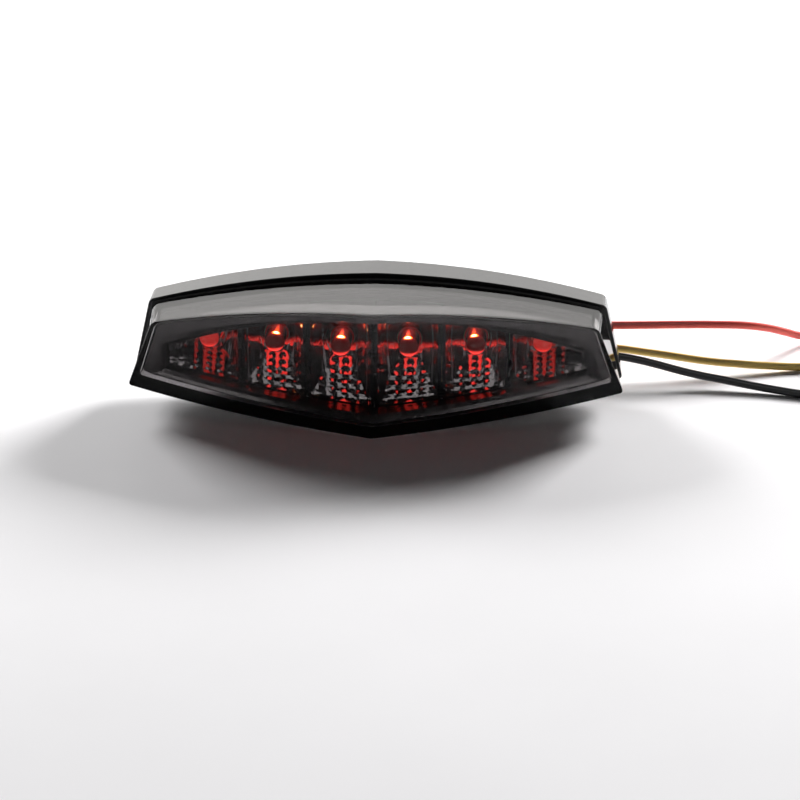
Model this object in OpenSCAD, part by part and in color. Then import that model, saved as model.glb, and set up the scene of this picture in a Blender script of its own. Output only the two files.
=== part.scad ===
// Motorcycle tail light. A smoked, prow-shaped lens closes a shallow black housing.
// Six LEDs stand on one board, each in its own stepped reflector cell, behind a
// terraced frame. Two studs hold the lamp to a bracket, and three leads come out
// of a grommet in its back.
// X runs across the lamp, the lens faces -Y, and Z is up. The lamp stands on z = 0.

/* [Lens] */
// Width across the lower corners of the lens
lens_w = 119; // [114:1:124]
// Half width at the upper corners of the lens
lens_top_half = 54; // [52:0.5:56]
// Height of the middle of the lens's upper edge over the reference line
lens_top = 17.5; // [16:0.5:19]
// Fall of the upper edge from the middle to the corners
lens_top_fall = 6.9; // [5:0.1:8]
// Depth of the lens's lower vertex under the reference line
lens_low = 13.7; // [12:0.1:15]
// Rise of the lower edge from the vertex to the corners
lens_low_rise = 7.7; // [6:0.1:9]
// Distance from the housing's back to the crease at the front of the lens
lens_depth = 32.2; // [30:0.1:36]
// Backward slope of each half of the front, per millimetre of width
lens_sweep = 0.222; // [0.18:0.002:0.25]
// Thickness of the lens wall
lens_wall = 2.1; // [1.6:0.1:2.6]

/* [Housing] */
// Half width at the housing's upper corners
rim_top_half = 55.6; // [54:0.1:57]
// Half width at the housing's lower corners
rim_low_half = 60; // [59:0.1:62]
// Height of the middle of the housing's upper edge over the reference line
rim_top = 20; // [19:0.1:22]
// Fall of the housing's upper edge from the middle to the corners
rim_top_fall = 8; // [6:0.1:9]
// Depth of the housing's lower vertex and flat foot under the reference line
rim_low = 13.8; // [13.8:0.1:16]
// Rise of the housing's lower edge from the vertex to the corners
rim_low_rise = 7.1; // [6:0.1:9]
// Thickness of the housing at its middle
rim_depth = 9.8; // [9:0.1:12]
// Thickness of the housing's back wall
back_wall = 2.5; // [2:0.1:3]
// Width of the flat foot under the housing
foot_w = 46; // [36:1:60]

/* [Light] */
// Distance between neighbouring LEDs
led_pitch = 16.1; // [15:0.1:16.5]
// Height of the LED row over the reference line
led_z = 4.8; // [3:0.1:6]
// Distance from the housing's back to the tips of the middle LEDs
led_reach = 20; // [18:0.1:21]
// Backward step from one LED to the next
led_step = 2.2; // [1.6:0.1:2.4]

/* [Mounting] */
// Distance between the two mounting studs
stud_pitch = 50; // [44:1:56]
// Length of a stud behind the housing
stud_len = 12; // [10:1:14]
// Radius of an M5 stud
stud_r = 2.5; // [2:0.5:3]

/* [Leads] */
// Diameter of each insulated lead
lead_d = 2; // [1.6:0.1:2.4]

/* [Hidden] */
$fn = 96;

ARC_FN = 360;
REACH = 70;                          // half size of the blocks that slice the outlines
y_back = (lens_depth - stud_len) / 2;  // places the box's middle on the origin
collar_r = stud_r + 0.4;             // plain collar of a stud, inside the wall and the pad
RIM_SWEEP = 0.031;
RIM = [rim_top, rim_top_fall, rim_top_half, rim_low, rim_low_rise, rim_low_half, 0.05, 0.03];
LENS = [lens_top, lens_top_fall, lens_top_half, lens_low, lens_low_rise, lens_w / 2, 0.03, 0.05];
seal_t = 0.9;
lens_root = rim_depth + seal_t;
FIT = 0.25;

// Terraces of the frame: outline of each opening, and how far its front lies behind
// the crease line of the lens. The last one is the window.
TERRACES = [
    [[14.6, 9.2, 52.1, 10.9, 6.5, 54.6, 0.02, 0.05], 3.4],
    [[14.2, 10.5, 51.2, 10.5, 6.4, 52.4, 0.02, 0.05], 4.6],
    [[13.8, 11.3, 50.6, 10.1, 6.5, 51.1, 0.02, 0.05], 5.8]];
FRAME_SWEEP = 0.25;
CELL_FRONT = 22.5;
CELL_SWEEP = 0.2;

LED_R = 2.5;
LED_LEN = 8.6;
FLANGE_R = 2.95;
FLANGE_T = 1;
LEG_R = 0.25;
LEG_GAP = 2.54;
BOARD_BACK = 4.6;
BOARD_T = 1.6;
board_front = BOARD_BACK + BOARD_T;

BOSS_XZ = [[-32.2, 9], [32.2, 9], [-32.2, -6], [32.2, -6]];
SCREW_R = 0.9;
GROMMET_Z = -3;
GROMMET_R = 4;
GROMMET_OUT = 6;
LEAD_XZ = [[-1.3, -2.2], [1.3, -2.2], [0, -4.6]];   // red, yellow and black
BREATHER = [12, -6];
PAD_T = 1.5;

// Middle line of each lead: x, distance behind the housing's back, height over the
// surface the lamp stands on. Each leaves the grommet, runs behind the housing past
// its right end, sags to the surface and lies along it.
RED_ROUTE = [[-1.3, 6, 11.6], [-1.3, 9, 11.6], [-1.1, 11.5, 11.6], [0.4, 14, 11.7], [3.5, 15.5, 11.8],
    [9, 16, 12], [17, 16, 12.3], [26, 16, 12.5], [36, 16, 12.5], [47, 16, 12.3], [57, 16, 12.1],
    [66, 16.5, 12.1], [75, 17.5, 12], [84, 19.5, 11.4], [91.5, 22.5, 10.2], [98, 27, 7.9],
    [103, 31.5, 5.2], [107.5, 36, 2.6], [112, 40, 1.3], [117.5, 43.5, 1], [125, 46.5, 1],
    [134, 48, 1], [144, 48, 1], [154, 46.5, 1], [164, 44.5, 1], [173, 43.5, 1], [179, 43.5, 1]];
YELLOW_ROUTE = [[1.3, 6, 11.6], [1.3, 8.5, 11.6], [1.8, 10.7, 11.5], [3.4, 12.6, 11.2],
    [6.2, 13.8, 10.8], [11, 14.2, 10.3], [18, 14.2, 9.6], [27, 14.2, 8.8], [37, 14, 8.1],
    [48, 14, 7.4], [59, 14, 6.7], [66, 14, 5.8], [72, 14, 5], [78, 14.3, 4], [84, 14.8, 3.1],
    [90, 15.5, 2.4], [96.5, 16.4, 1.7], [104, 17.4, 1.1], [112, 18.2, 1], [122, 18.5, 1],
    [133, 17.5, 1], [144, 15.5, 1], [155, 14, 1], [166, 13.5, 1], [176, 14, 1], [186, 15, 1],
    [192, 15, 1]];
BLACK_ROUTE = [[0, 6, 9.2], [0, 8.4, 9.2], [0.6, 10.6, 9.1], [2.4, 12.3, 8.9], [5.3, 13, 8.6],
    [11, 13, 8.2], [19, 12.2, 7.8], [28, 11.5, 7.5], [38, 10.5, 7.3], [49, 9.2, 7],
    [59.5, 8.2, 6.7], [64, 8, 6], [69, 7.5, 5], [74, 6.8, 3.9], [79.5, 6, 2.9], [85, 4.8, 2.3],
    [91, 3.2, 1.7], [98, 1.2, 1.2], [105, -1, 1], [115, -3.2, 1], [126, -4.4, 1], [137, -4.4, 1],
    [148, -3.2, 1], [159, -1.2, 1], [170, 0.6, 1], [181, 1.5, 1], [191, 1.5, 1]];
LEAD_SIDES = 8;
TIP_R = 0.6;
TIP_L = 6;

// Drop from the arch's crown to its centres, for half span a, fall d and crown slope k
function arch_q(a, d, k) = (a * a + d * d) / (2 * (d - a * k));

// Closed outline: a shallow pointed arch above and below, and sloping ends, inset by in
module outline(o, in = 0) {
    q_top = arch_q(o[2], o[1], o[6]);
    q_low = arch_q(o[5], o[4], o[7]);
    r_top = q_top * sqrt(1 + o[6] * o[6]) - in;
    r_low = q_low * sqrt(1 + o[7] * o[7]) - in;
    z_hi = o[0] - o[1];
    z_lo = o[4] - o[3];
    slope = (o[5] - o[2]) / (z_hi - z_lo);
    shift = in * sqrt(1 + slope * slope);
    x_up = o[2] - (REACH / 2 - z_hi) * slope - shift;
    x_dn = o[2] + (REACH / 2 + z_hi) * slope - shift;
    intersection() {
        translate([-o[6] * q_top, o[0] - q_top]) circle(r_top, $fn = ARC_FN);
        translate([o[6] * q_top, o[0] - q_top]) circle(r_top, $fn = ARC_FN);
        translate([-o[7] * q_low, q_low - o[3]]) circle(r_low, $fn = ARC_FN);
        translate([o[7] * q_low, q_low - o[3]]) circle(r_low, $fn = ARC_FN);
        polygon([[-x_up, REACH / 2], [x_up, REACH / 2], [x_dn, -REACH / 2], [-x_dn, -REACH / 2]]);
    }
}

// Everything between y = back and a prow whose crease stands at y = -depth
module prow(depth, sweep, back) {
    edge = sweep * REACH - depth;
    translate([0, 0, -REACH / 2]) linear_extrude(REACH)
        polygon([[-REACH, back], [-REACH, edge], [0, -depth], [REACH, edge], [REACH, back]]);
}

// The outline o, inset by in, from y = back forward to a prow
module prow_solid(o, in, depth, sweep, back = 0) {
    intersection() {
        translate([0, back, 0]) rotate([90, 0, 0]) linear_extrude(depth + back) outline(o, in);
        prow(depth, sweep, back + 1);
    }
}

// A cylinder along Y whose near end is at distance d0 and whose far end is at d1
module rod(x, z, r, d0, d1, fn = 48) {
    translate([x, -d0, z]) rotate([90, 0, 0]) cylinder(h = d1 - d0, r = r, $fn = fn);
}

// Moves a part from the lamp's reference line and back plane to the row's frame
module place() {
    translate([0, y_back, rim_low]) children();
}

function led_x(i) = (i - 3.5) * led_pitch;
function led_tip(i) = led_reach - led_step * (abs(i - 3.5) - 0.5);
function led_base(i) = led_tip(i) - LED_LEN;

module rear_housing() {
    spigot_in = lens_wall + FIT;
    place() color([0.05, 0.05, 0.06]) difference() {
        union() {
            difference() {
                union() {
                    prow_solid(RIM, 0, rim_depth, RIM_SWEEP);
                    prow_solid(LENS, spigot_in, rim_depth + 2.6, RIM_SWEEP);
                    foot();
                }
                prow_solid(LENS, spigot_in + 1.3, rim_depth + 5, RIM_SWEEP, -back_wall);
            }
            for (p = BOSS_XZ) rod(p[0], p[1], 2.6, back_wall - 0.5, BOARD_BACK);
            for (s = [-1, 1]) rod(s * stud_pitch / 2, 0, 6.2, back_wall - 0.5, BOARD_BACK - 0.3);
        }
        for (p = BOSS_XZ) rod(p[0], p[1], SCREW_R, 1.2, BOARD_BACK + 1, 32);
        for (s = [-1, 1]) {
            rod(s * stud_pitch / 2, 0, collar_r, -1, 3);
            rod(s * stud_pitch / 2, 0, 4.1, 1.4, BOARD_BACK + 1);
        }
        rod(0, GROMMET_Z, GROMMET_R, -1, back_wall + 1);
        rod(BREATHER[0], BREATHER[1], 1.5, -1, back_wall + 1);
    }
}

module foot() {
    translate([-foot_w / 2, 1.5 - rim_depth, -rim_low]) cube([foot_w, rim_depth - 1.5, 4]);
}

module front_lens() {
    place() color([0.12, 0.11, 0.12, 0.6]) difference() {
        prow_solid(LENS, 0, lens_depth, lens_sweep);
        prow_solid(LENS, lens_wall, lens_depth - lens_wall, lens_sweep, 2);
        prow(lens_root, RIM_SWEEP, 5);
    }
}

module lens_seal() {
    place() color([0.08, 0.08, 0.08]) difference() {
        intersection() {
            prow_solid(LENS, -0.45, lens_root, RIM_SWEEP);
            prow_solid(RIM, 0, rim_depth + 5, RIM_SWEEP);
        }
        prow_solid(LENS, lens_wall + FIT, lens_root + 1, RIM_SWEEP, 2);
        prow(rim_depth, RIM_SWEEP, 5);
    }
}

module bezel_frame() {
    place() color([0.1, 0.1, 0.11]) difference() {
        prow_solid(LENS, lens_wall + 0.3, lens_depth - TERRACES[0][1], FRAME_SWEEP);
        for (i = [0:len(TERRACES) - 1]) terrace_cut(i);
        prow_solid(TERRACES[2][0], 0, lens_depth, 0.1, 2);
        prow(CELL_FRONT, CELL_SWEEP, 5);
    }
}

// Removes the step in front of terrace i's opening, down to the next terrace's face
module terrace_cut(i) {
    floor_at = lens_depth - (i < 2 ? TERRACES[i + 1][1] : TERRACES[i][1] + 1);
    difference() {
        prow_solid(TERRACES[i][0], 0, lens_depth, 0.1);
        prow(floor_at, FRAME_SWEEP, 5);
    }
}

// Stepped bowl of cell i: its own slice of the outline, less a turned, stepped hollow
module reflector(i) {
    half = led_pitch / 2 - 0.1;
    outer = abs(i - 3.5) > 2;
    side = sign(i - 3.5);
    x0 = led_x(i) - (outer && side < 0 ? half + 8 : half);
    x1 = led_x(i) + (outer && side > 0 ? half + 8 : half);
    back_at = led_base(i) + FLANGE_T + 0.2;
    place() color([0.5, 0.5, 0.52]) difference() {
        intersection() {
            prow_solid(LENS, 4.1, CELL_FRONT, CELL_SWEEP);
            translate([x0, -REACH, -REACH / 2]) cube([x1 - x0, REACH - back_at, REACH]);
        }
        intersection() {
            translate([led_x(i), -back_at, led_z]) rotate([90, 0, 0]) bowl();
            prow_solid(LENS, 4.9, REACH, 0, 2);
            translate([x0 + 0.6, -REACH, -REACH / 2]) cube([x1 - x0 - 1.2, REACH, REACH]);
        }
        rod(led_x(i), led_z, LED_R + 0.15, back_at - 1, back_at + 2);
    }
}

// Hollow of a cell: six rings that widen like a paraboloid towards the front
module bowl() {
    steps = 6;
    step_h = 1.5;
    for (s = [0:steps - 1])
        translate([0, 0, 0.8 + s * step_h])
            cylinder(h = s == steps - 1 ? 12 : step_h + 0.01, r = 4 + 3.6 * sqrt(s) + 1.2 * s);
}

module led(i) {
    tip = led_tip(i);
    base = led_base(i);
    place() color([0.8, 0.1, 0.06]) union() {
        rod(led_x(i), led_z, FLANGE_R, base, base + FLANGE_T);
        rod(led_x(i), led_z, LED_R, base + FLANGE_T / 2, tip - LED_R);
        translate([led_x(i), LED_R - tip, led_z]) sphere(LED_R);
    }
}

module led_legs() {
    place() color("silver") for (i = [1:6], s = [-1, 1])
        rod(led_x(i) + s * LEG_GAP / 2, led_z, LEG_R, BOARD_BACK - 1.2, led_base(i), 24);
}

module circuit_board() {
    place() color([0.1, 0.35, 0.18]) difference() {
        translate([0, -BOARD_BACK, 0]) rotate([90, 0, 0]) linear_extrude(BOARD_T) outline(LENS, 4.2);
        for (i = [1:6], s = [-1, 1])
            rod(led_x(i) + s * LEG_GAP / 2, led_z, LEG_R + 0.05, 1, 8, 24);
        for (p = BOSS_XZ) rod(p[0], p[1], SCREW_R + 0.2, 1, 8, 32);
    }
}

module board_screws() {
    place() color("silver") for (p = BOSS_XZ) {
        rod(p[0], p[1], SCREW_R - 0.05, 1.6, board_front + 0.2, 32);
        rod(p[0], p[1], 1.9, board_front, board_front + 1.4, 32);
    }
}

module resistors() {
    place() color([0.75, 0.65, 0.5]) for (x = [-24, -16, -8, 8, 16, 24])
        translate([x, -board_front - 1.1, -8]) cylinder(h = 6, r = 1.05, $fn = 32);
}

module diodes() {
    place() color([0.15, 0.15, 0.15]) for (x = [-3, 3])
        translate([x, -board_front - 1.3, -8.5]) cylinder(h = 5, r = 1.25, $fn = 32);
}

module inner_leads() {
    place() color([0.6, 0.6, 0.6]) for (p = LEAD_XZ)
        rod(p[0], p[1], lead_d / 2, -GROMMET_OUT, BOARD_BACK, 32);
}

module mounting_studs() {
    place() color([0.7, 0.72, 0.75]) for (s = [-1, 1]) {
        rod(s * stud_pitch / 2, 0, stud_r, -stud_len, 0);
        rod(s * stud_pitch / 2, 0, collar_r, -PAD_T, 2.4);
        rod(s * stud_pitch / 2, 0, 4, 2.2, BOARD_BACK - 0.4, 6);
    }
}

module stud_seals() {
    place() color([0.1, 0.1, 0.1]) for (s = [-1, 1]) difference() {
        rod(s * stud_pitch / 2, 0, 3.9, 1.4, 2.2);
        rod(s * stud_pitch / 2, 0, collar_r, 1, 3);
    }
}

module mounting_pad() {
    place() color([0.09, 0.09, 0.09]) difference() {
        union() {
            translate([-stud_pitch / 2, 0, -9]) cube([stud_pitch, PAD_T, 18]);
            for (s = [-1, 1]) rod(s * stud_pitch / 2, 0, 9, -PAD_T, 0);
        }
        for (s = [-1, 1]) rod(s * stud_pitch / 2, 0, collar_r + 0.3, -PAD_T - 1, 1);
        rod(0, GROMMET_Z, GROMMET_R + 1.6, -PAD_T - 1, 1);
        rod(BREATHER[0], BREATHER[1], 2.6, -PAD_T - 1, 1);
    }
}

module cable_grommet() {
    place() color([0.07, 0.07, 0.07]) difference() {
        union() {
            rod(0, GROMMET_Z, GROMMET_R, -1.4, back_wall);
            rod(0, GROMMET_Z, GROMMET_R + 1.2, -1.4, 0);
            translate([0, 1.4, GROMMET_Z]) rotate([-90, 0, 0])
                cylinder(h = GROMMET_OUT - 1.4, r1 = GROMMET_R, r2 = 3.2, $fn = 48);
        }
        for (p = LEAD_XZ) rod(p[0], p[1], lead_d / 2, -GROMMET_OUT - 1, back_wall + 1, 32);
    }
}

module breather_plug() {
    place() color([0.2, 0.2, 0.2]) {
        rod(BREATHER[0], BREATHER[1], 1.5, -0.1, back_wall, 32);
        rod(BREATHER[0], BREATHER[1], 2.3, -1, 0, 32);
    }
}

function unit(v) = v / norm(v);
function heading(path, i) = unit(path[min(i + 1, len(path) - 1)] - path[max(i - 1, 0)]);

// Ring of points around the path at point i, square to it
function ring(path, i, r) = let (
        t = heading(path, i),
        side = unit(cross(t, [0, 0, 1])),
        up = cross(side, t))
    [for (k = [0:LEAD_SIDES - 1]) let (a = 360 * (k + 0.5) / LEAD_SIDES)
        path[i] + r * (cos(a) * side + sin(a) * up)];

// Tube swept along the route, closed at both ends
module lead(path, r) {
    n = len(path);
    rings = [for (i = [0:n - 1]) each ring(path, i, r)];
    walls = [for (i = [0:n - 2], k = [0:LEAD_SIDES - 1]) let (
            a = i * LEAD_SIDES + k,
            b = i * LEAD_SIDES + (k + 1) % LEAD_SIDES)
        [a, b, b + LEAD_SIDES, a + LEAD_SIDES]];
    near = [for (k = [LEAD_SIDES - 1:-1:0]) k];
    far = [for (k = [0:LEAD_SIDES - 1]) (n - 1) * LEAD_SIDES + k];
    translate([0, y_back, 0]) polyhedron(rings, concat([near], walls, [far]), convexity = 6);
}

// Bare, tinned end of a lead, in line with its last stretch
module tip(path) {
    p = path[len(path) - 1];
    color("silver") translate([p[0], y_back + p[1], p[2]]) rotate([0, 90, 0])
        cylinder(h = TIP_L, r = TIP_R, $fn = 24);
}

module red_lead() { color([0.75, 0.12, 0.1]) lead(RED_ROUTE, lead_d / 2); }
module yellow_lead() { color([0.7, 0.58, 0.2]) lead(YELLOW_ROUTE, lead_d / 2); }
module black_lead() { color([0.06, 0.06, 0.06]) lead(BLACK_ROUTE, lead_d / 2); }

rear_housing();
front_lens();
lens_seal();
bezel_frame();
reflector(1);  // reflector_1
reflector(2);  // reflector_2
reflector(3);  // reflector_3
reflector(4);  // reflector_4
reflector(5);  // reflector_5
reflector(6);  // reflector_6
led(1);  // led_1
led(2);  // led_2
led(3);  // led_3
led(4);  // led_4
led(5);  // led_5
led(6);  // led_6
led_legs();
circuit_board();
board_screws();
resistors();
diodes();
inner_leads();
mounting_studs();
stud_seals();
mounting_pad();
cable_grommet();
breather_plug();
red_lead();
yellow_lead();
black_lead();
tip(RED_ROUTE);  // red_tip
tip(YELLOW_ROUTE);  // yellow_tip
tip(BLACK_ROUTE);  // black_tip
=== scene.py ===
from collections import namedtuple
from math import cos, pi, radians, sin, sqrt

import bmesh
import bpy
from mathutils import Matrix, Vector


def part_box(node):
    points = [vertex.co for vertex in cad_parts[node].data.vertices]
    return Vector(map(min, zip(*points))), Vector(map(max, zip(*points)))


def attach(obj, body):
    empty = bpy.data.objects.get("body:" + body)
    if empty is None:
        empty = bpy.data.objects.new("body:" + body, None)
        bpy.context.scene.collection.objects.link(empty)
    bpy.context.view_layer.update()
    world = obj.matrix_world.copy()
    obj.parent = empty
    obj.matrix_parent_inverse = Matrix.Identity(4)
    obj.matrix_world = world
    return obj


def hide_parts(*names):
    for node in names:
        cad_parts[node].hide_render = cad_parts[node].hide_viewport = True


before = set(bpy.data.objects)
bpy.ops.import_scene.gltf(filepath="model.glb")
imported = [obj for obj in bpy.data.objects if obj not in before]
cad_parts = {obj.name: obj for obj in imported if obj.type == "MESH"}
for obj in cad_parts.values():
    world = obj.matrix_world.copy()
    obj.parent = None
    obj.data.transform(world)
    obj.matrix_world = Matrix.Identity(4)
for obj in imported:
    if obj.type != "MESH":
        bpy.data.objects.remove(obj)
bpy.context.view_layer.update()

MM = 0.001
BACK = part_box("rear_housing")[1].y                    # plane of the housing's back
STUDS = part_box("mounting_studs")
REF = (STUDS[0].z + STUDS[1].z) / 2                   # height of the lamp's reference line


def at(x, d, z):
    """The point x mm across, d mm in front of the housing's back and z mm over the reference line."""
    return Vector((x * MM, BACK - d * MM, REF + z * MM))


# ---------------------------------------------------------------- camera

CAM_AIM = at(5.4, 5.5, -14.3)
CAM_DISTANCE = 0.65
CAM_ELEVATION = radians(22)
CAM_YAW = radians(3.04)
CAM_ROLL = radians(-0.18)
CAM_LENS = 118.3
CAM_SENSOR = 36


def make_camera():
    """The scene's camera, above the lamp's front, a little to the right and almost level."""
    right = Vector((cos(CAM_YAW), sin(CAM_YAW), 0))
    ahead = Vector((-sin(CAM_YAW) * cos(CAM_ELEVATION), cos(CAM_YAW) * cos(CAM_ELEVATION),
                    -sin(CAM_ELEVATION)))
    up = right.cross(ahead)
    side = right * cos(CAM_ROLL) + up * sin(CAM_ROLL)
    top = up * cos(CAM_ROLL) - right * sin(CAM_ROLL)
    place = Matrix((side, top, -ahead)).transposed().to_4x4()
    place.translation = CAM_AIM - ahead * CAM_DISTANCE
    data = bpy.data.cameras.new("camera")
    data.lens = CAM_LENS
    data.sensor_width = CAM_SENSOR
    data.clip_start = 0.02
    camera = bpy.data.objects.new("camera", data)
    camera.matrix_world = place
    bpy.context.scene.collection.objects.link(camera)
    bpy.context.scene.camera = camera


# ---------------------------------------------------------------- materials

class Nodes:
    """A material's node tree, with short ways to add procedural texture to its Principled shader."""

    def __init__(self, name):
        self.material = bpy.data.materials.new(name)
        self.material.use_nodes = True
        self.tree = self.material.node_tree
        self.shader = self.tree.nodes["Principled BSDF"]
        self.output = self.tree.nodes["Material Output"]
        self.coords = self.tree.nodes.new("ShaderNodeTexCoord").outputs["Object"]

    def add(self, kind, **values):
        node = self.tree.nodes.new(kind)
        for name, value in values.items():
            setattr(node, name, value)
        return node

    def link(self, out, into):
        self.tree.links.new(out, into)
        return self

    def plain(self, **values):
        for name, value in values.items():
            self.shader.inputs[name.replace("_", " ")].default_value = value
        return self

    def noise(self, scale, detail=4, stretch=(1, 1, 1), distortion=0.0):
        mapping = self.add("ShaderNodeMapping")
        mapping.inputs["Scale"].default_value = stretch
        self.link(self.coords, mapping.inputs["Vector"])
        texture = self.add("ShaderNodeTexNoise")
        texture.inputs["Scale"].default_value = scale
        texture.inputs["Detail"].default_value = detail
        texture.inputs["Distortion"].default_value = distortion
        self.link(mapping.outputs["Vector"], texture.inputs["Vector"])
        return texture.outputs["Fac"]

    def ramp(self, value, *stops):
        """Colours or greys along a value: each stop is (place, colour) or (place, grey)."""
        ramp = self.add("ShaderNodeValToRGB")
        elements = ramp.color_ramp.elements
        while len(elements) < len(stops):
            elements.new(1.0)
        for element, (place, colour) in zip(elements, stops):
            element.position = place
            element.color = (*colour, 1) if isinstance(colour, tuple) else (colour, colour, colour, 1)
        self.link(value, ramp.inputs["Fac"])
        return ramp.outputs["Color"]

    def map_range(self, value, low, high, to_low, to_high):
        node = self.add("ShaderNodeMapRange", clamp=True)
        for name, number in zip(("From Min", "From Max", "To Min", "To Max"), (low, high, to_low, to_high)):
            node.inputs[name].default_value = number
        self.link(value, node.inputs["Value"])
        return node.outputs["Result"]

    def math(self, operation, a, b=None):
        node = self.add("ShaderNodeMath", operation=operation)
        for socket, value in zip(node.inputs, (a, b)):
            if isinstance(value, bpy.types.NodeSocket):
                self.link(value, socket)
            elif value is not None:
                socket.default_value = value
        return node.outputs["Value"]

    def colour(self, out):
        return self.link(out, self.shader.inputs["Base Color"])

    def roughness(self, value, low, high):
        return self.link(self.map_range(value, 0.3, 0.7, low, high), self.shader.inputs["Roughness"])

    def bump(self, height, depth_mm, strength=1.0):
        node = self.add("ShaderNodeBump")
        node.inputs["Distance"].default_value = depth_mm * MM
        node.inputs["Strength"].default_value = strength
        self.link(height, node.inputs["Height"])
        return self.link(node.outputs["Normal"], self.shader.inputs["Normal"])


def shade(colour, share):
    """A lighter or darker colour."""
    return tuple(min(1, c * share) for c in colour)


def gloss_black(name, grey=0.012, low=0.10, high=0.19):
    """Moulded black plastic: a faint orange peel, cloudy gloss and a little grey flow colour."""
    n = Nodes(name).plain(IOR=1.34)
    deep = (grey, grey, grey * 1.08)
    pale = (grey * 1.7, grey * 1.65, grey * 1.7)
    n.colour(n.ramp(n.noise(160, 3), (0.3, deep), (0.7, pale)))
    n.roughness(n.noise(420, 5, (1, 1, 2.5)), low, high)
    return n.bump(n.noise(900, 2), 0.012, 0.5).material


def smoked_clear(name, density, tint=(0.14, 0.11, 0.115)):
    """Tinted polycarbonate: clear, with its colour from the thickness that light passes through."""
    n = Nodes(name).plain(IOR=1.28, Base_Color=(1, 1, 1, 1), Transmission_Weight=1.0)
    n.roughness(n.noise(260, 4), 0.0, 0.012)
    absorb = n.add("ShaderNodeVolumeAbsorption")
    absorb.inputs["Color"].default_value = (*tint, 1)
    absorb.inputs["Density"].default_value = density
    n.link(absorb.outputs["Volume"], n.output.inputs["Volume"])
    return n.bump(n.noise(75, 2), 0.01, 0.06).material


def soft_rubber(name, grey=0.018):
    """Matt black rubber with a fine grain."""
    n = Nodes(name).plain(IOR=1.48)
    n.colour(n.ramp(n.noise(500, 5), (0.3, grey), (0.75, grey * 1.8)))
    n.roughness(n.noise(700, 4), 0.52, 0.78)
    return n.bump(n.noise(2600, 4), 0.04, 0.6).material


def smoked_chrome(name, grey, low, high):
    """Vacuum-metallised plastic with a dark wash, a fine haze and small pits."""
    n = Nodes(name).plain(Metallic=1.0)
    light = (grey, grey * 0.96, grey * 0.97)
    n.colour(n.ramp(n.noise(220, 4), (0.3, shade(light, 0.78)), (0.7, light)))
    n.roughness(n.noise(600, 5), low, high)
    return n.bump(n.noise(700, 3), 0.012, 0.4).material


def brushed_metal(name, tone, low, high, stretch=(1, 6, 1)):
    """Plated or tinned metal with fine marks across the stretched axis."""
    n = Nodes(name).plain(Metallic=1.0)
    n.colour(n.ramp(n.noise(400, 5), (0.3, shade(tone, 0.8)), (0.7, tone)))
    n.roughness(n.noise(900, 5, stretch), low, high)
    return n.bump(n.noise(1800, 4, stretch), 0.012, 0.4).material


def wire_sleeve(name, tone, low=0.34, high=0.46):
    """Extruded PVC: satin, with faint drawn streaks and slightly uneven colour."""
    n = Nodes(name).plain(IOR=1.5, Specular_IOR_Level=0.45)
    n.colour(n.ramp(n.noise(90, 4), (0.25, shade(tone, 0.86)), (0.75, shade(tone, 1.08))))
    n.roughness(n.noise(500, 4, (0.3, 1, 1)), low, high)
    return n.bump(n.noise(1500, 3, (0.15, 1, 1)), 0.02, 0.35).material


def solder_mask(name):
    """Green circuit board with lighter copper tracks under the mask."""
    n = Nodes(name).plain(IOR=1.5)
    tracks = n.add("ShaderNodeTexBrick", offset=0.35)
    tracks.inputs["Scale"].default_value = 240
    tracks.inputs["Mortar Size"].default_value = 0.03
    tracks.inputs["Color1"].default_value = (0.012, 0.075, 0.03, 1)
    tracks.inputs["Color2"].default_value = (0.016, 0.09, 0.035, 1)
    tracks.inputs["Mortar"].default_value = (0.05, 0.2, 0.08, 1)
    n.link(n.coords, tracks.inputs["Vector"]).colour(tracks.outputs["Color"])
    n.roughness(n.noise(500, 3), 0.25, 0.4)
    return n.bump(tracks.outputs["Fac"], 0.03, 0.5).material


BAND_WIDTH = 0.08                                     # share of the component's length


def banded(name, body, bands):
    """The lacquer of a CAD node of small upright components, with coloured bands round them."""
    n = Nodes(name).plain(IOR=1.5)
    split = n.add("ShaderNodeSeparateXYZ")
    n.link(n.coords, split.inputs["Vector"])
    stops = [(0.0, body)]
    for place, colour in bands:
        stops += [(place, colour), (place + BAND_WIDTH, body)]
    low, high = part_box(name)
    ramp = n.ramp(n.map_range(split.outputs["Z"], low.z, high.z, 0, 1), *stops)
    ramp.node.color_ramp.interpolation = "CONSTANT"
    n.colour(ramp).roughness(n.noise(800, 3), 0.3, 0.45)
    return n.bump(n.noise(1200, 3), 0.02, 0.4).material


LED_DARK = (0.16, 0.005, 0.005, 1)
LED_GLOW, LED_WARM, LED_HOT = (1.0, 0.045, 0.035), (1.0, 0.15, 0.02), (1.0, 0.6, 0.18)
SPOT_SHAPE = (1.0, 1.9, 1.9)                          # makes the hot spot wider than it is high
SPOT_RIM, SPOT_CORE, SPOT_FALL = 0.52, 0.08, 1.5      # distances from its middle, and how fast it fades
HALO_RIM, HALO_CORE, HALO_FALL = 1.5, 0.2, 3.0


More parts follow.
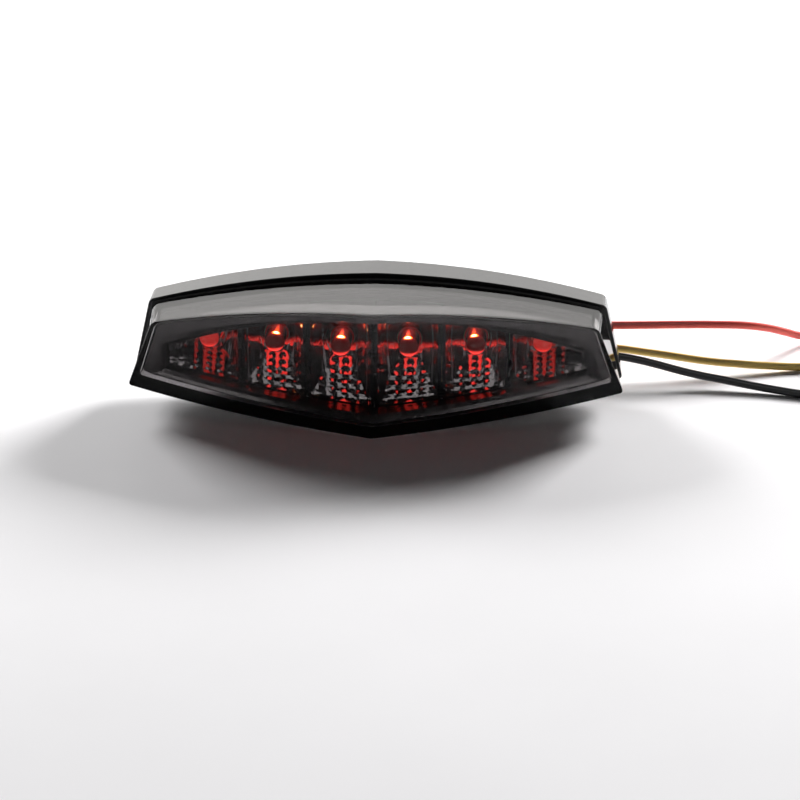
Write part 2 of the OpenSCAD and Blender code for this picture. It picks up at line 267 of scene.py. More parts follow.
def led_epoxy(name, axis, glow, spot, spill):
    """Lit red epoxy: a hot spot and its halo where the surface faces along axis, glow on all that
    faces forwards, and spill on all that faces down into the bowl."""
    n = Nodes(name).plain(IOR=1.5, Base_Color=LED_DARK)
    n.roughness(n.noise(900, 2), 0.05, 0.12)
    geometry = n.add("ShaderNodeNewGeometry")
    away = n.add("ShaderNodeVectorMath", operation="SUBTRACT")
    n.link(geometry.outputs["Normal"], away.inputs[0])
    away.inputs[1].default_value = axis
    spread = n.add("ShaderNodeVectorMath", operation="MULTIPLY")
    n.link(away.outputs["Vector"], spread.inputs[0])
    spread.inputs[1].default_value = SPOT_SHAPE
    span = n.add("ShaderNodeVectorMath", operation="LENGTH")
    n.link(spread.outputs["Vector"], span.inputs[0])
    heat = n.map_range(span.outputs["Value"], SPOT_RIM, SPOT_CORE, 0, 1)
    halo = n.map_range(span.outputs["Value"], HALO_RIM, HALO_CORE, 0, 1)
    hue = n.ramp(heat, (0.0, LED_GLOW), (0.35, LED_WARM), (0.9, LED_HOT))
    n.link(hue, n.shader.inputs["Emission Color"])
    hot = n.math("MULTIPLY", n.math("POWER", heat, SPOT_FALL), spot)
    split = n.add("ShaderNodeSeparateXYZ")
    n.link(geometry.outputs["Normal"], split.inputs["Vector"])
    front = n.math("MULTIPLY", n.map_range(split.outputs["Y"], -0.25, -0.45, 0, 1), glow)
    warm = n.math("ADD", n.math("POWER", halo, HALO_FALL), front)
    under = n.math("MULTIPLY", n.map_range(split.outputs["Z"], -0.35, -1.0, 0, 1), spill)
    n.link(n.math("ADD", n.math("ADD", warm, under), hot), n.shader.inputs["Emission Strength"])
    return n.material


def paper_floor(name):
    """A pale matt studio floor."""
    n = Nodes(name).plain(IOR=1.45, Specular_IOR_Level=0.25)
    n.colour(n.ramp(n.noise(14, 4), (0.3, (0.83, 0.82, 0.83)), (0.7, (0.86, 0.85, 0.86))))
    n.roughness(n.noise(60, 4), 0.5, 0.62)
    return n.bump(n.noise(900, 4), 0.03, 0.15).material


def dress(name, material):
    """Gives a shown CAD node its material."""
    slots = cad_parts[name].data.materials
    slots.clear()
    slots.append(material)


# ---------------------------------------------------------------- outlines and meshes

# A pointed arch above and below, and sloping ends, in mm from the reference line: the height of the
# crown, its fall to the corners and the half width there, the same for the lower edge, and then the
# slopes of the two arches at the middle.
Outline = namedtuple("Outline", "top fall top_half low rise low_half top_kink low_kink")
RIM = Outline(20.3, 8.2, 55.6, 13.8, 7.1, 60.0, 0.03, 0.03)
LENS_ROOT = Outline(18.8, 7.4, 54.6, 13.7, 7.6, 58.9, 0.03, 0.05)
LENS_FRONT = Outline(17.5, 6.9, 53.5, 13.7, 7.6, 60.0, 0.03, 0.05)
INNER_ROOT = Outline(17.6, 7.3, 53.0, 11.3, 7.5, 56.6, 0.03, 0.05)
INNER_FRONT = Outline(16.4, 6.7, 52.7, 11.3, 7.5, 57.2, 0.03, 0.05)
SPIGOT = Outline(15.1, 6.6, 52.0, 11.2, 7.4, 56.3, 0.03, 0.05)
SPIGOT_IN = Outline(13.8, 6.5, 50.8, 9.9, 7.3, 54.8, 0.03, 0.05)
SEAL_OUT = Outline(19.1, 7.4, 54.9, 13.75, 7.2, 59.2, 0.03, 0.04)
FRAME_OUT = Outline(15.9, 6.65, 52.2, 11.0, 7.4, 56.5, 0.03, 0.05)
OPENINGS = [Outline(14.6, 9.2, 52.1, 10.9, 6.5, 54.6, 0.02, 0.05),
            Outline(14.2, 10.5, 51.2, 10.1, 6.3, 52.4, 0.02, 0.05),
            Outline(13.8, 11.3, 50.6, 9.3, 6.1, 51.1, 0.02, 0.05),
            Outline(13.7, 11.4, 50.2, 9.1, 6.1, 50.6, 0.02, 0.05)]

# Depths are in mm in front of the back, at the middle of the lamp. A sweep is how much less deep the
# piece is for each mm away from the middle.
RIM_DEPTH, RIM_SWEEP = 9.8, 0.031
RECESS_DEPTH, RECESS_SIDE, RECESS_END = 0.5, 2.4, 2.6  # the back's recess and its distances from the rim
HOUSING_FLOOR = 2.5                                   # depth of the floor inside the housing
SPIGOT_LENGTH = 2.6
FOOT_HALF, FOOT_FLARE, FOOT_HEIGHT, FOOT_SETBACK = 23.0, 1.2, 4.0, 1.5
SEAL_FIT = 0.1                                        # gap between the seal and the spigot
LENS_ROOT_AT, LENS_ROOT_FIT = 10.7, 0.05              # the seal's front, and the lens's gap to it
LENS_DEPTH, LENS_SWEEP = 32.2, 0.222
PLATE = 2.1                                           # thickness of the lens's front
TERRACES = (3.4, 4.2, 5.0)                            # distances of the steps behind the lens's crease
TERRACE_DRAFT = 0.9                                   # how much of each step its sloping wall takes up
FRAME_SWEEP = 0.25
FRAME_FIT = 0.15                                      # gap between the frame and the reflectors
CELL_FRONT, CELL_SWEEP = 22.5, 0.2
COLUMNS = 40                                          # columns of faces across each outline


def inset(o, side, end):
    """The outline brought in by side above and below, and by end at both ends."""
    return o._replace(top=o.top - side, low=o.low - side, top_half=o.top_half - end,
                      low_half=o.low_half - end)


def between(one, two, share):
    """The outline that lies a share of the way from one to two."""
    return Outline(*(a + (b - a) * share for a, b in zip(one, two)))


def arch(x, half, fall, kink):
    """Fall of a pointed arch below its crown, x mm from the middle."""
    q = (half * half + fall * fall) / (2 * (fall - half * kink))
    return q - sqrt(q * q * (1 + kink * kink) - (abs(x) + kink * q) ** 2)


def upper(o, x):
    """Height of the outline's upper edge."""
    return o.top - arch(x, o.top_half, o.fall, o.top_kink)


def lower(o, x):
    """Height of the outline's lower edge."""
    return arch(x, o.low_half, o.rise, o.low_kink) - o.low


def loop(o, depth, sweep):
    """The outline's points, left to right along the top and back along the bottom, on a prow."""
    across = [2 * k / COLUMNS - 1 for k in range(COLUMNS + 1)]
    top = [(u * o.top_half, upper(o, u * o.top_half)) for u in across]
    low = [(u * o.low_half, lower(o, u * o.low_half)) for u in reversed(across)]
    return [at(x, depth - sweep * abs(x), z) for x, z in top + low]


class Shell:
    """A mesh of rings joined in order, each ring a loop of the same number of points."""

    def __init__(self):
        self.bm = bmesh.new()
        self.weight = self.bm.edges.layers.float.new("bevel_weight_edge")
        self.rings = []

    def ring(self, points, crease=0.0):
        """Adds a ring, joins it to the last one, and gives its edges a bevel weight."""
        verts = [self.bm.verts.new(p) for p in points]
        count = len(verts)
        if self.rings:
            last = self.rings[-1]
            for k in range(count):
                j = (k + 1) % count
                self.bm.faces.new((last[k], last[j], verts[j], verts[k]))
        for k in range(count):
            pair = (verts[k], verts[(k + 1) % count])
            edge = self.bm.edges.get(pair) or self.bm.edges.new(pair)
            edge[self.weight] = crease
        self.rings.append(verts)
        return self

    def close(self):
        """Joins the last ring to the first, for a ring-shaped solid."""
        first, last = self.rings[0], self.rings[-1]
        for k in range(len(first)):
            j = (k + 1) % len(first)
            self.bm.faces.new((last[k], last[j], first[j], first[k]))
        return self

    def cap(self, which, crease=0.0):
        """Closes a ring with strips from its upper to its lower edge; crease rounds the middle one."""
        ring = self.rings[which]
        for k in range(COLUMNS):
            a, b = ring[k], ring[k + 1]
            c, d = ring[-2 - k], ring[-1 - k]
            self.bm.faces.new((a, b, c, d) if which else (d, c, b, a))
        if crease:
            middle = COLUMNS // 2
            self.bm.edges.get((ring[middle], ring[-1 - middle]))[self.weight] = crease
        return self

    def corners(self, weight):
        """Rounds the four corners along the length between neighbouring rings."""
        marks = (0, COLUMNS, COLUMNS + 1, 2 * COLUMNS + 1)
        for one, two in zip(self.rings, self.rings[1:]):
            for k in marks:
                edge = self.bm.edges.get((one[k], two[k]))
                if edge:
                    edge[self.weight] = weight
        return self

    def done(self, name, material, bevel_mm=1.0, segments=4, sharp=28):
        return finish_mesh(self.bm, name, material, bevel_mm, segments, sharp)


def finish_mesh(bm, name, material, bevel_mm=0.0, segments=3, sharp=28):
    """Turns a bmesh into a smooth-shaded object with its weighted edges rounded."""
    bmesh.ops.recalc_face_normals(bm, faces=bm.faces)
    mesh = bpy.data.meshes.new(name)
    bm.to_mesh(mesh)
    bm.free()
    mesh.shade_smooth()
    mesh.set_sharp_from_angle(angle=radians(sharp))
    mesh.materials.append(material)
    piece = bpy.data.objects.new(name, mesh)
    bpy.context.scene.collection.objects.link(piece)
    if bevel_mm:
        bevel = piece.modifiers.new("edges", "BEVEL")
        bevel.limit_method = "WEIGHT"
        bevel.width = bevel_mm * MM
        bevel.segments = segments
        bevel.harden_normals = True
        bevel.use_clamp_overlap = True
    return piece


def stands_for(piece, slot, *nodes):
    """Puts a finished piece in place of CAD nodes."""
    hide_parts(*nodes)
    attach(piece, "root")
    return piece


def circle(radius, count):
    """Points round a circle, as pairs."""
    turns = [2 * pi * k / count for k in range(count)]
    return [(radius * cos(turn), radius * sin(turn)) for turn in turns]


def close_tube(bm, rings):
    """Joins rings of points in order and closes both ends."""
    for one, two in zip(rings, rings[1:]):
        for k in range(len(one)):
            j = (k + 1) % len(one)
            bm.faces.new((one[k], one[j], two[j], two[k]))
    bm.faces.new(rings[0])
    bm.faces.new(rings[-1])


def turned(name, material, profile, sides=40, sharp=30):
    """A solid turned about Y from (y, radius) pairs in millimetres along the axis, at the origin."""
    bm = bmesh.new()
    close_tube(bm, [[bm.verts.new((x * MM, y * MM, z * MM)) for x, z in circle(radius, sides)]
                    for y, radius in profile])
    return finish_mesh(bm, name, material, sharp=sharp)


# ---------------------------------------------------------------- the leads

# The middle line of each lead: x, distance behind the housing's back, height over the floor, mm.
RED_ROUTE = [[-1.3, 6, 11.6], [-1.3, 9, 11.6], [-1.1, 11.5, 11.6], [0.4, 14, 11.7], [3.5, 15.5, 11.8],
             [9, 16, 12], [17, 16, 12.3], [26, 16, 12.5], [36, 16, 12.5], [47, 16, 12.3], [57, 16, 12.1],
             [66, 16.5, 12.1], [75, 17.5, 12], [84, 19.5, 11.4], [91.5, 22.5, 10.2], [98, 27, 7.9],
             [103, 31.5, 5.2], [107.5, 36, 2.6], [112, 40, 1.3], [117.5, 43.5, 1], [125, 46.5, 1],
             [134, 48, 1], [144, 48, 1], [154, 46.5, 1], [164, 44.5, 1], [173, 43.5, 1], [179, 43.5, 1]]
YELLOW_ROUTE = [[1.3, 6, 11.6], [1.3, 8.5, 11.6], [1.8, 10.7, 11.5], [3.4, 12.6, 11.2],
                [6.2, 13.8, 10.8], [11, 14.2, 10.3], [18, 14.2, 9.6], [27, 14.2, 8.8], [37, 14, 8.1],
                [48, 14, 7.4], [59, 14, 6.7], [66, 14, 5.8], [72, 14, 5], [78, 14.3, 4], [84, 14.8, 3.1],
                [90, 15.5, 2.4], [96.5, 16.4, 1.7], [104, 17.4, 1.1], [112, 18.2, 1], [122, 18.5, 1],
                [133, 17.5, 1], [144, 15.5, 1], [155, 14, 1], [166, 13.5, 1], [176, 14, 1], [186, 15, 1],
                [192, 15, 1]]
BLACK_ROUTE = [[0, 6, 9.2], [0, 8.4, 9.2], [0.6, 10.6, 9.1], [2.4, 12.3, 8.9], [5.3, 13, 8.6],
               [11, 13, 8.2], [19, 12.2, 7.8], [28, 11.5, 7.5], [38, 10.5, 7.3], [49, 9.2, 7],
               [59.5, 8.2, 6.7], [64, 8, 6], [69, 7.5, 5], [74, 6.8, 3.9], [79.5, 6, 2.9], [85, 4.8, 2.3],
               [91, 3.2, 1.7], [98, 1.2, 1.2], [105, -1, 1], [115, -3.2, 1], [126, -4.4, 1], [137, -4.4, 1],
               [148, -3.2, 1], [159, -1.2, 1], [170, 0.6, 1], [181, 1.5, 1], [191, 1.5, 1]]
LEAD_D = 0.002
STRANDS = 6                                           # round a seventh in the middle
STRAND_R = 0.2
STRAND_LAY = 5.0                                      # length of one turn of a strand
STRAND_SIDES, STRAND_STEPS = 8, 18
STRAND_END = 0.6                                      # the cut end's share of the radius
TIP_LENGTH = 6.0


def make_lead(colour, route, sleeve, tinned):
    """One insulated lead along its route, with its bare twisted end."""
    points = [Vector((x * MM, BACK + c * MM, h * MM)) for x, c, h in route]
    curve = bpy.data.curves.new(colour + "_wire", "CURVE")
    curve.dimensions = "3D"
    curve.bevel_depth = LEAD_D / 2
    curve.bevel_resolution = 6
    curve.resolution_u = 8
    curve.use_fill_caps = True
    spline = curve.splines.new("BEZIER")
    spline.bezier_points.add(len(points) - 1)
    for knot, point in zip(spline.bezier_points, points):
        knot.co = point
        knot.handle_left_type = knot.handle_right_type = "AUTO"
    curve.materials.append(sleeve)
    wire = bpy.data.objects.new(colour + "_wire", curve)
    bpy.context.scene.collection.objects.link(wire)
    strands = make_strands(colour + "_strands", points[-1], tinned)
    stands_for(wire, "wire_" + colour, colour + "_lead")
    stands_for(strands, "tinned", colour + "_tip")


def make_strands(name, start, material):
    """The tinned copper strands of a stripped end, twisted round each other along +X."""
    bm = bmesh.new()
    for strand in range(STRANDS + 1):
        orbit = 0 if strand == STRANDS else 2 * STRAND_R
        rings = []
        for s in range(STRAND_STEPS + 1):
            along = TIP_LENGTH * s / STRAND_STEPS
            turn = 2 * pi * (strand / STRANDS + along / STRAND_LAY)
            y, z = orbit * cos(turn), orbit * sin(turn)
            radius = STRAND_R * (STRAND_END if s == STRAND_STEPS else 1)
            rings.append([bm.verts.new(start + MM * Vector((along, y + dy, z + dz)))
                          for dy, dz in circle(radius, STRAND_SIDES)])
        close_tube(bm, rings)
    return finish_mesh(bm, name, material, sharp=50)


# ---------------------------------------------------------------- housing, seal, lens and frame

def make_housing(material):
    """The black housing: its rim, the spigot inside the lens, its floor, and a recessed back."""
    recess = inset(RIM, RECESS_SIDE, RECESS_END)
    shell = Shell()
    shell.ring(loop(recess, RECESS_DEPTH, 0)).cap(0)
    shell.ring(loop(recess, 0, 0), 0.25)
    shell.ring(loop(RIM, 0, 0), 0.2)
    shell.ring(loop(RIM, RIM_DEPTH, RIM_SWEEP), 0.22)
    shell.ring(loop(SPIGOT, RIM_DEPTH, RIM_SWEEP))
    shell.ring(loop(SPIGOT, RIM_DEPTH + SPIGOT_LENGTH, RIM_SWEEP), 0.2)
    shell.ring(loop(SPIGOT_IN, RIM_DEPTH + SPIGOT_LENGTH, RIM_SWEEP), 0.2)
    shell.ring(loop(SPIGOT_IN, HOUSING_FLOOR, 0)).cap(-1)
    shell.corners(1.0)
    return stands_for(shell.done("housing_shell", material), "housing", "rear_housing")


def make_foot(material):
    """The flat foot under the rim, wider at its top and with rounded edges."""
    low, high = -RIM.low, FOOT_HEIGHT - RIM.low
    wide = FOOT_HALF + FOOT_FLARE
    bm = bmesh.new()
    weight = bm.edges.layers.float.new("bevel_weight_edge")
    section = [(-FOOT_HALF, low), (FOOT_HALF, low), (wide, high), (-wide, high)]
    ends = [[bm.verts.new(at(x, d, z)) for x, z in section] for d in (0, RIM_DEPTH - FOOT_SETBACK)]
    for k in range(4):
        j = (k + 1) % 4
        bm.faces.new((ends[0][k], ends[0][j], ends[1][j], ends[1][k]))
    for end in ends:
        bm.faces.new(end)
    for edge in bm.edges:
        edge[weight] = 1.0
    return finish_mesh(bm, "housing_foot", material, 0.4, 3)


def make_seal(material):
    """The black bead between the housing's rim and the lens."""
    bore = inset(SPIGOT, -SEAL_FIT, 0)
    shell = Shell()
    shell.ring(loop(SEAL_OUT, RIM_DEPTH, RIM_SWEEP), 0.1)
    shell.ring(loop(SEAL_OUT, LENS_ROOT_AT, RIM_SWEEP), 0.3)
    shell.ring(loop(bore, LENS_ROOT_AT, RIM_SWEEP))
    shell.ring(loop(bore, RIM_DEPTH, RIM_SWEEP))
    shell.close().corners(1.0)
    return stands_for(shell.done("seal_bead", material, 0.8), "rubber", "lens_seal")


def make_lens(material):
    """The smoked shell: a plate with a prow on thick walls, open at the back."""
    shell = Shell()
    shell.ring(loop(INNER_FRONT, LENS_DEPTH - PLATE, LENS_SWEEP), 0.35).cap(0, 0.2)
    shell.ring(loop(INNER_ROOT, LENS_ROOT_AT + LENS_ROOT_FIT, RIM_SWEEP))
    shell.ring(loop(LENS_ROOT, LENS_ROOT_AT + LENS_ROOT_FIT, RIM_SWEEP), 0.12)
    shell.ring(loop(LENS_FRONT, LENS_DEPTH, LENS_SWEEP), 0.3).cap(-1, 0.3)
    shell.corners(1.0)
    return stands_for(shell.done("smoked_lens", material, 1.1), "smoked_lens", "front_lens")


def make_frame(material, edges):
    """The frame round the window: three terraces with sloping walls and rounded edges; the edges' lighter
    chrome is a painted highlight.
    """
    shell = Shell()
    edge = 0.2
    back = CELL_FRONT + FRAME_FIT
    shell.ring(loop(FRAME_OUT, back, CELL_SWEEP))
    shell.ring(loop(FRAME_OUT, LENS_DEPTH - TERRACES[0], FRAME_SWEEP), edge)
    for k, front in enumerate(TERRACES[:-1]):
        foot = between(OPENINGS[k], OPENINGS[k + 1], TERRACE_DRAFT)
        shell.ring(loop(OPENINGS[k], LENS_DEPTH - front, FRAME_SWEEP), edge)
        shell.ring(loop(foot, LENS_DEPTH - TERRACES[k + 1], FRAME_SWEEP))
    shell.ring(loop(OPENINGS[2], LENS_DEPTH - TERRACES[-1], FRAME_SWEEP), edge)
    shell.ring(loop(OPENINGS[3], back, CELL_SWEEP))
    shell.close()
    piece = shell.done("terraced_frame", material, 1.4, 2)
    piece.data.materials.append(edges)
    # the rounded edges take the second, lighter chrome: a painted highlight along each step
    piece.modifiers["edges"].material = 1
    return stands_for(piece, "frame", "bezel_frame")


# ---------------------------------------------------------------- reflectors and LEDs

CELLS = 6
LED_PITCH = 16.1
LED_Z = 4.8
LED_REACH, LED_STEP = 20.0, 2.2                       # depth of the middle tips, and how it falls per LED
LED_R, LED_LENGTH = 2.5, 8.6
# An LED's flange: distances in front of its base, and radii.
LED_FLANGE = ((0, 2.7), (0.12, 2.95), (0.88, 2.95), (1.0, 2.85), (1.05, LED_R))
CELL_INSET = 4.1
CELL_HALF = 7.95
CELL_LAND = 0.8                                       # flat land round each bowl
CELL_HOLE = 3.1                                       # radius of the LED's hole
CELL_FOOT, CELL_WALL = 1.2, 0.9                       # the bowl's depth over the LED's base, and its wall
BOWL_STEPS = 6
BOWL_CURVE = 1.3                                      # above 1, the outer steps rise more than the inner
# One step of a bowl: shares of its width and of its rise, and of the flutes' full depth.
BOWL_STEP = ((0.25, 0.02, 0.6), (0.55, 0.12, 1.0), (0.8, 0.35, 1.0), (1.0, 1.0, 0.0))
SPOKES = 120
FLUTE_PITCH = 2.75                                    # width of one upright flute of the bowl
FLUTE_SHIFT = 0.7                                     # sets each cell's flutes off from the next one's
FLUTE_DEPTH = 0.42                                    # how far a flute stands forward
FLUTE_SWELL = 0.2                                     # and towards the LED
CELL = Outline(LENS_FRONT.top - CELL_INSET, 6.75, 50.2, LENS_FRONT.low - CELL_INSET, 7.2, 54.2, 0.03, 0.05)
OPEN_END = 80.0                                       # the outer cells have no wall but the outline
CELL_LIMIT, HALVINGS = 60.0, 24                       # longest reach tried, and how closely it is found


def off_middle(i):
    """How many cells cell i lies to the right of the lamp's middle."""
    return i - (CELLS + 1) / 2


def led_x(i):
    return off_middle(i) * LED_PITCH


def led_tip(i):
    """Depth of LED i's tip: the outer ones lie further back, like the lens."""
    return LED_REACH - LED_STEP * (abs(off_middle(i)) - 0.5)


def cell_reach(i, turn, land):
    """Distance from cell i's LED axis to the cell's edge, in the direction turn, less the land."""
    dx, dz = cos(turn), sin(turn)
    left = led_x(i) - CELL_HALF if i > 1 else -OPEN_END
    right = led_x(i) + CELL_HALF if i < CELLS else OPEN_END
    slope = (CELL.low_half - CELL.top_half) / (CELL.top - CELL.fall - CELL.rise + CELL.low)
    near, far = 0.0, CELL_LIMIT
    for _ in range(HALVINGS):
        r = (near + far) / 2
        x, z = led_x(i) + r * dx, LED_Z + r * dz
        end = CELL.top_half + (CELL.top - CELL.fall - z) * slope - land
        inside = left + land < x < right - land and abs(x) < end
        if inside:
            inside = lower(CELL, x) + land < z < upper(CELL, x) - land
        near, far = (r, far) if inside else (near, r)
    return near


def make_reflector(i, material, wall_material):
    """A cell's bowl: rings that grow from the LED's hole into the cell's outline, in fluted steps."""
    base = led_tip(i) - LED_LENGTH + CELL_FOOT
    bm = bmesh.new()
    turns = [2 * pi * k / SPOKES for k in range(SPOKES)]
    reach = [cell_reach(i, t, CELL_LAND) for t in turns]
    outer = [cell_reach(i, t, 0) for t in turns]

    def ring(share, depth_share=None, depth=None, edge=None, flute=0.0):
        verts = []
        for k, t in enumerate(turns):
            r = edge[k] if edge else CELL_HOLE + (reach[k] - CELL_HOLE) * share
            swell = flute * abs(sin(pi * r * cos(t) / FLUTE_PITCH + FLUTE_SHIFT * i))
            r -= FLUTE_SWELL * swell
            x, z = led_x(i) + r * cos(t), LED_Z + r * sin(t)
            front = CELL_FRONT - CELL_SWEEP * abs(x)
            d = base + (front - base) * depth_share if depth is None else depth
            d += FLUTE_DEPTH * swell
            verts.append(bm.verts.new(at(x, d, z)))
        return verts

    rings = [ring(0, depth=base - CELL_WALL), ring(0, depth_share=0)]
    for s in range(BOWL_STEPS):
        low, high = (s / BOWL_STEPS) ** BOWL_CURVE, ((s + 1) / BOWL_STEPS) ** BOWL_CURVE
        for part, rise, flute in BOWL_STEP:
            rings.append(ring((s + part) / BOWL_STEPS, depth_share=low + (high - low) * rise, flute=flute))
    rings.append(ring(1, depth_share=1, edge=outer))
    rings.append(ring(1, depth=base - CELL_WALL, edge=outer))
    rings.append(rings[0])
    land = len(rings) - 4                             # from here on: the land, the outer wall and the back
    for n, (one, two) in enumerate(zip(rings, rings[1:])):
        for k in range(SPOKES):
            j = (k + 1) % SPOKES
            face = bm.faces.new((one[k], one[j], two[j], two[k]))
            face.material_index = 1 if n >= land else 0
    piece = finish_mesh(bm, f"reflector_cell_{i}", material, sharp=24)
    piece.data.materials.append(wall_material)
    return stands_for(piece, "reflector", f"reflector_{i}")


def led_look(i):
    """LED i's material: the end ones glow all over their fronts, the others have bright spots."""
    off = off_middle(i)
    axis = Vector((-0.5 * off, -1, 3.6)).normalized()
    glow, spill = (0.6, 1.6) if abs(off) > 2 else (0.05, 5.0)
    spot = 60.0 if abs(off) < 1 else 34.0
    return led_epoxy(f"led_epoxy_{i}", axis, glow, spot, spill)


def make_led(i, material):
    """A 5 mm LED: flange, body and dome."""
    tip, base = led_tip(i), led_tip(i) - LED_LENGTH
    profile = [(base + y, radius) for y, radius in LED_FLANGE]
    for a in range(9):
        rise = radians(10 * a)
        profile.append((tip - LED_R + LED_R * sin(rise), LED_R * cos(rise)))
    profile.append((tip - 0.005, 0.12))               # a tiny flat closes the dome
    led = turned(f"red_led_{i}", material, [(-d, r) for d, r in profile])
    led.location = at(led_x(i), 0, LED_Z)
    return stands_for(led, "led_red", f"led_{i}")


# ---------------------------------------------------------------- the back

THREAD_PITCH = 0.8
THREAD_DEPTH = 0.38
THREAD_RINGS = 8                                      # for each turn of the thread
STUD_R, STUD_SIDES = 2.5, 32
STUD_START = 1.5                                      # the thread's start behind the housing's back
STUD_POINT = 0.5                                      # length of the tapered end
HEAD_R, HEAD_CORNERS = 4.0, 6
# The head inside the housing and the collar: places, radii and corners, 0 being round.
STUD_HEAD = ((-4.1, HEAD_R, HEAD_CORNERS), (-2.3, HEAD_R, HEAD_CORNERS), (-2.3, 2.9, 0),
             (STUD_START, 2.9, 0))


def thread_radius(y, turn, tip):
    """The stud's radius y mm behind the back: a thread that fades at both ends, and a tapered tip."""
    fade = min(1, (y - STUD_START) / THREAD_PITCH, 0.3 + (tip - y) / 0.7)
    phase = (y / THREAD_PITCH - turn / (2 * pi)) % 1
    taper = 0.9 * max(0, STUD_POINT - (tip - y))
    return STUD_R - THREAD_DEPTH * abs(2 * phase - 1) * max(0, fade) - taper


def cornered_radius(radius, corners, turn):
    """The distance from the middle of a regular polygon to its side, or of a circle with no corners."""
    if not corners:
        return radius
    return radius * cos(pi / corners) / cos((turn % (2 * pi / corners)) - pi / corners)


def stud_ring(bm, x0, y, radii, turns):
    """Points round a stud's axis, each with its own radius."""
    return [bm.verts.new(at(x0 + r * cos(turn), -y, r * sin(turn))) for r, turn in zip(radii, turns)]


def make_studs(material):
    """Two M5 studs with a rolled thread, their plain collars and hex heads."""
    bm = bmesh.new()
    low, high = STUDS
    tip = (high.y - BACK) / MM
    length = tip - STUD_START
    steps = int(length / THREAD_PITCH * THREAD_RINGS)
    turns = [2 * pi * k / STUD_SIDES for k in range(STUD_SIDES)]
    for side in (-1, 1):
        x0 = side * ((high.x - low.x) / 2 - HEAD_R * MM) / MM
        rings = []
        for y, radius, corners in STUD_HEAD:
            radii = [cornered_radius(radius, corners, turn) for turn in turns]
            rings.append(stud_ring(bm, x0, y, radii, turns))
        for s in range(steps + 1):
            y = STUD_START + length * s / steps
            radii = [thread_radius(y, turn, tip) for turn in turns]
            rings.append(stud_ring(bm, x0, y, radii, turns))
        close_tube(bm, rings)
    return stands_for(finish_mesh(bm, "threaded_studs", material, sharp=25), "steel", "mounting_studs")


# ---------------------------------------------------------------- surroundings

FLOOR_HALF = 2.0                                      # metres


def make_floor(material):
    """A wide pale floor under the lamp."""
    bm = bmesh.new()
    bmesh.ops.create_grid(bm, x_segments=8, y_segments=8, size=FLOOR_HALF)
    floor = finish_mesh(bm, "floor", material)


def area_light(name, place, aim, width, height, radiance, colour=(1, 1, 1), mirrored=True, lights=True):
    """A soft rectangular light of a given radiance. Shiny surfaces show it if mirrored is set, and the
    others are lit by it if lights is set."""
    light = bpy.data.lights.new(name, "AREA")
    light.shape = "RECTANGLE"
    light.size, light.size_y = width, height
    light.energy = radiance * pi * width * height
    light.color = colour
    lamp = bpy.data.objects.new(name, light)
    lamp.visible_glossy = lamp.visible_transmission = mirrored
    lamp.visible_diffuse = lights
    lamp.location = place
    lamp.rotation_euler = (Vector(aim) - Vector(place)).to_track_quat("-Z", "Y").to_euler()
    bpy.context.scene.collection.objects.link(lamp)


def towards(azimuth, elevation, distance):
    """A point seen from the lamp at an azimuth from +Y towards +X, and an elevation."""
    a, e = radians(azimuth), radians(elevation)
    return Vector((sin(a) * cos(e), cos(a) * cos(e), sin(e))) * distance


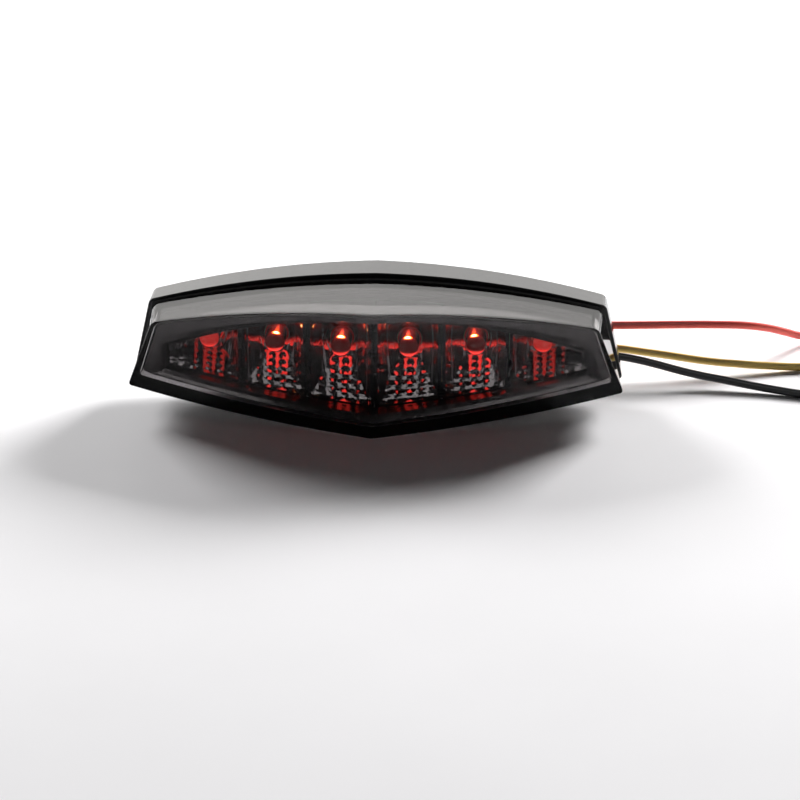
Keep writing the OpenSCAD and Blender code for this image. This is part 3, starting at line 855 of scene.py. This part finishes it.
def make_lights():
    """A faint sky, two panels that only show in shiny surfaces, and two lights behind the lamp that
    throw its shadow forwards."""
    world = bpy.data.worlds.new("studio")
    world.use_nodes = True
    sky = world.node_tree.nodes["Background"].inputs
    sky["Color"].default_value = (0.95, 0.97, 1.0, 1)
    sky["Strength"].default_value = 0.045
    bpy.context.scene.world = world
    area_light("backdrop", place=(0, 1.35, 0.42), aim=(0, 0, 0.42), width=2.6, height=0.70,
               radiance=2.2, colour=(1.0, 0.985, 0.96), lights=False)
    area_light("ceiling", place=towards(178, 60, 1.5), aim=(0, 0, 0), width=1.4, height=0.6,
               radiance=2.2, lights=False)
    area_light("key", place=towards(34, 25, 1.0), aim=(0, 0, 0.02), width=0.36, height=0.28,
               radiance=61.0, mirrored=False)
    area_light("second", place=towards(-38, 25, 1.5), aim=(0, 0, 0.02), width=0.70, height=0.40,
               radiance=31.0, mirrored=False)
    bpy.context.scene.view_settings.view_transform = "Standard"


# ---------------------------------------------------------------- the lamp

make_camera()

tinned = brushed_metal("tinned", (0.72, 0.71, 0.69), 0.22, 0.38, (6, 1, 1))
make_lead("red", RED_ROUTE, wire_sleeve("red_sleeve", (0.85, 0.11, 0.09)), tinned)
make_lead("yellow", YELLOW_ROUTE, wire_sleeve("yellow_sleeve", (0.75, 0.52, 0.13)), tinned)
make_lead("black", BLACK_ROUTE, wire_sleeve("black_sleeve", (0.014, 0.015, 0.017), 0.28, 0.4), tinned)

housing_plastic = gloss_black("housing_plastic")
housing = make_housing(housing_plastic)
foot = make_foot(housing_plastic)
foot.parent = housing
make_seal(soft_rubber("seal_rubber", 0.010))
make_lens(smoked_clear("smoked_lens", 310))
black_chrome = smoked_chrome("black_chrome", 0.16, 0.06, 0.15)
# the frame's edges get a light chrome that paints the highlight lines they catch
make_frame(black_chrome, smoked_chrome("edge_highlight_chrome", 0.9, 0.3, 0.42))

chrome = smoked_chrome("reflector_chrome", 0.32, 0.05, 0.12)
cell_walls = gloss_black("cell_walls", 0.006)
for i in range(1, CELLS + 1):
    make_reflector(i, chrome, cell_walls)
    make_led(i, led_look(i))

zinc = brushed_metal("zinc_plate", (0.66, 0.66, 0.62), 0.24, 0.4)
rubber = soft_rubber("rubber")
make_studs(zinc)
dress("led_legs", tinned)
dress("board_screws", zinc)
dress("circuit_board", solder_mask("solder_mask"))
resistor_bands = [(0.2, (0.02, 0.02, 0.02)), (0.38, (0.5, 0.05, 0.03)), (0.56, (0.35, 0.12, 0.02)),
                  (0.8, (0.6, 0.45, 0.1))]
dress("resistors", banded("resistors", (0.5, 0.36, 0.2), resistor_bands))
dress("diodes", banded("diodes", (0.015, 0.015, 0.015), [(0.8, (0.5, 0.5, 0.5))]))
dress("inner_leads", wire_sleeve("inner_sleeves", (0.3, 0.3, 0.3)))
for name in ("stud_seals", "mounting_pad", "cable_grommet", "breather_plug"):
    dress(name, rubber)

make_floor(paper_floor("paper"))
make_lights()
